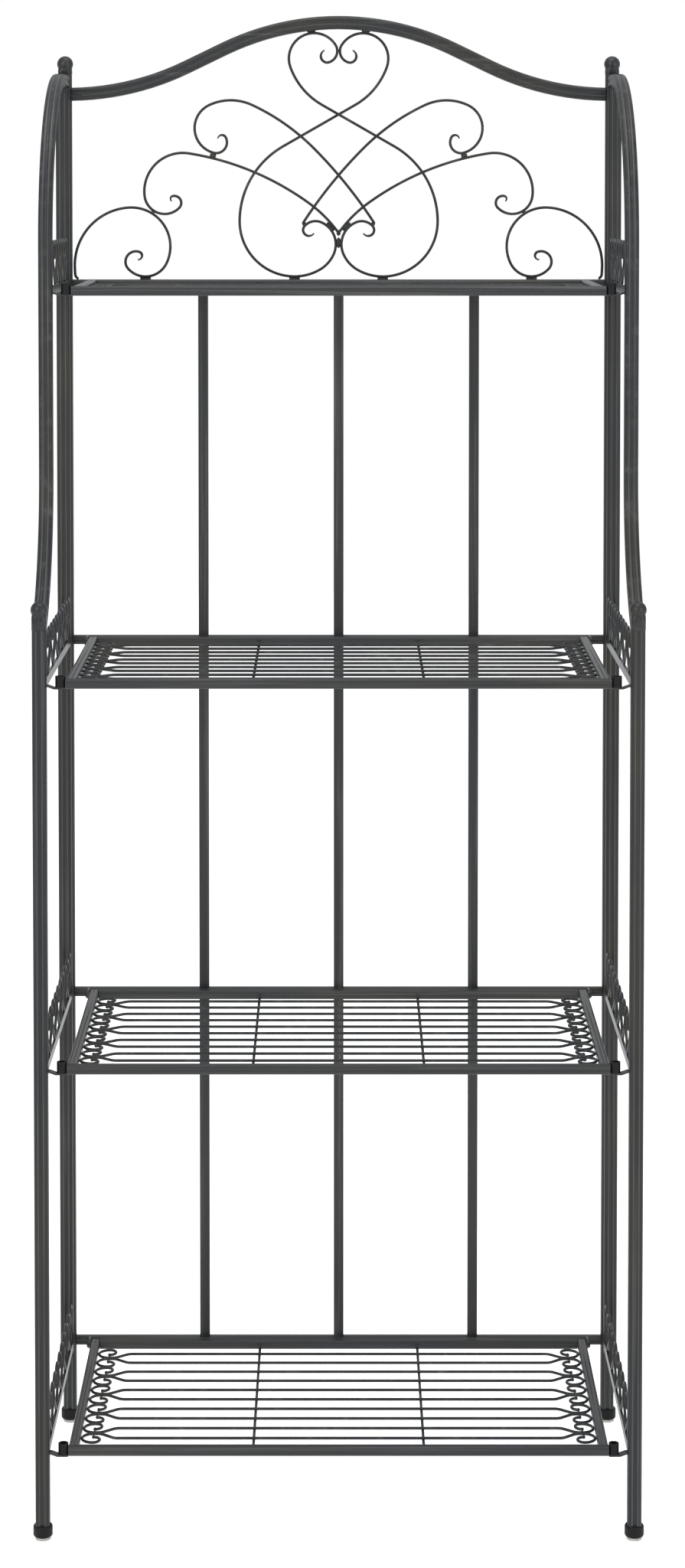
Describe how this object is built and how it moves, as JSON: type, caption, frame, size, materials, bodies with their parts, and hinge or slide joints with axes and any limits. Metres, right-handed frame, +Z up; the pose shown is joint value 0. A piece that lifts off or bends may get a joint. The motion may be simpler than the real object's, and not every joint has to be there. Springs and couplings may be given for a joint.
{
  "type": "bakers rack",
  "caption": "Folding wrought steel bakers rack with hinged wire shelves, an arched scrollwork back panel and side frames trimmed with rows of wire hearts",
  "frame": {"origin": "on the floor under the middle of the rack, halfway between the front legs and the rear stiles", "axes": "+X to the right of a person facing the front, +Y to the rear, +Z up"},
  "size_m": [0.692, 0.362, 1.737],
  "materials": {
    "ironwork": "charcoal paint, brushed and rubbed pale along the ridges",
    "black_plastic": "moulded black",
    "pale_plastic": "moulded pale grey"
  },
  "bodies": {
    "rack": {"rear_stile_left": "ironwork", "rear_stile_right": "ironwork", "arch_rail": "ironwork", "panel_rail_bottom": "ironwork", "panel_rail_lower": "ironwork", "panel_rail_upper": "ironwork", "panel_rail_top": "ironwork", "slat_left": "ironwork", "slat_middle": "ironwork", "slat_right": "ironwork", "crest_heart_left": "ironwork", "crest_heart_right": "ironwork", "crest_loop_left": "ironwork", "crest_loop_right": "ironwork", "crest_shoulder_left": "ironwork", "crest_shoulder_right": "ironwork", "crest_corner_left": "ironwork", "crest_corner_right": "ironwork", "crest_welds": "ironwork", "ball_finials": "ironwork", "foot_caps": "black_plastic", "foot_glides": "pale_plastic", "front_leg_left": "ironwork", "side_arch_left": "ironwork", "rear_upright_left": "ironwork", "side_rails_left": "ironwork", "side_hearts_left": "ironwork", "support_arms_left": "ironwork", "front_leg_right": "ironwork", "side_arch_right": "ironwork", "rear_upright_right": "ironwork", "side_rails_right": "ironwork", "side_hearts_right": "ironwork", "support_arms_right": "ironwork", "hinge_ears": "ironwork", "hinge_rivets": "ironwork"},
    "bottom_shelf": {"bottom_shelf_front_rail": "ironwork", "bottom_shelf_rear_rail": "ironwork", "bottom_shelf_side_bars": "ironwork", "bottom_shelf_long_wires": "ironwork", "bottom_shelf_cross_wires": "ironwork", "bottom_shelf_sleeves": "black_plastic"},
    "lower_shelf": {"lower_shelf_front_rail": "ironwork", "lower_shelf_rear_rail": "ironwork", "lower_shelf_side_bars": "ironwork", "lower_shelf_long_wires": "ironwork", "lower_shelf_cross_wires": "ironwork", "lower_shelf_sleeves": "black_plastic"},
    "upper_shelf": {"upper_shelf_front_rail": "ironwork", "upper_shelf_rear_rail": "ironwork", "upper_shelf_side_bars": "ironwork", "upper_shelf_long_wires": "ironwork", "upper_shelf_cross_wires": "ironwork", "upper_shelf_sleeves": "black_plastic"},
    "top_shelf": {"top_shelf_front_rail": "ironwork", "top_shelf_rear_rail": "ironwork", "top_shelf_side_bars": "ironwork", "top_shelf_long_wires": "ironwork", "top_shelf_cross_wires": "ironwork", "top_shelf_sleeves": "black_plastic"}
  },
  "joints": [
    {"name": "bottom_shelf_fold", "type": "hinge", "parent": "rack", "child": "bottom_shelf", "pos_m": [0, 0.156, 0.1015], "axis": [-1, 0, 0], "range_deg": [0, 90]},
    {"name": "lower_shelf_fold", "type": "hinge", "parent": "rack", "child": "lower_shelf", "pos_m": [0, 0.156, 0.538], "axis": [-1, 0, 0], "range_deg": [0, 90]},
    {"name": "upper_shelf_fold", "type": "hinge", "parent": "rack", "child": "upper_shelf", "pos_m": [0, 0.156, 0.9745], "axis": [-1, 0, 0], "range_deg": [0, 90]},
    {"name": "top_shelf_fold", "type": "hinge", "parent": "rack", "child": "top_shelf", "pos_m": [0, 0.156, 1.411], "axis": [-1, 0, 0], "range_deg": [0, 88]}
  ]
}
